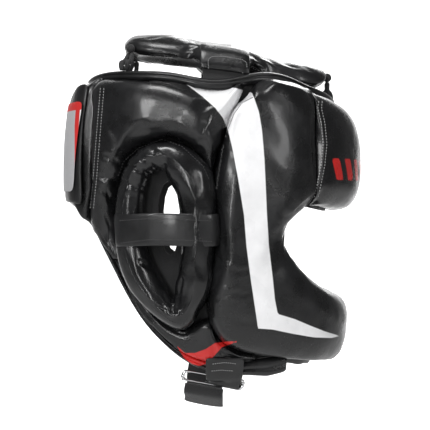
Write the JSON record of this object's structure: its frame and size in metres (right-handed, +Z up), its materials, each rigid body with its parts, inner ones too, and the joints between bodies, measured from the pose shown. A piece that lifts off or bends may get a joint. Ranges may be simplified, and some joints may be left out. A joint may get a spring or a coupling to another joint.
{
  "type": "sparring headgear with face bar",
  "caption": "Padded leather sparring headgear with a cheek and nose bar, ear guards, a laced crown pad, a rear closure flap and a chin strap.",
  "frame": {"origin": "middle of the crown pad's underside, where the wearer's head carries the headgear", "axes": "+Z up, -Y the way the wearer faces, -X the wearer's right"},
  "size_m": [0.2254, 0.2657, 0.3317],
  "materials": {
    "padded_leather": "glossy black",
    "plain_leather": "satin black",
    "lining": "matt black",
    "webbing": "black weave",
    "label": "light grey patch",
    "steel": "plated"
  },
  "bodies": {
    "root": {"face_shell": "padded_leather", "forehead_pad": "padded_leather", "side_pad_right": "padded_leather", "side_pad_left": "padded_leather", "ear_guard_right": "padded_leather", "ear_guard_left": "padded_leather", "jaw_panel_right": "padded_leather", "jaw_panel_left": "padded_leather", "rear_pad": "padded_leather", "crown_pad": "padded_leather", "ear_strap_right": "padded_leather", "ear_strap_left": "padded_leather", "rim_binding": "padded_leather", "edge_binding": "padded_leather", "closure_flap": "plain_leather", "crown_tab_right": "plain_leather", "crown_tab_left": "plain_leather", "jaw_tab_right": "plain_leather", "jaw_tab_left": "plain_leather", "chin_flap": "plain_leather", "inner_lining": "lining", "crown_webbing_right": "webbing", "crown_webbing_left": "webbing", "chin_strap": "webbing", "lace_front": "webbing", "lace_rear_right": "webbing", "lace_rear_left": "webbing", "lace_knot_front": "webbing", "lace_knot_rear_right": "webbing", "lace_knot_rear_left": "webbing", "lace_loop_front": "webbing", "lace_loop_rear_right": "webbing", "lace_loop_rear_left": "webbing", "back_label": "label", "buckle_ring": "steel"}
  },
  "joints": []
}
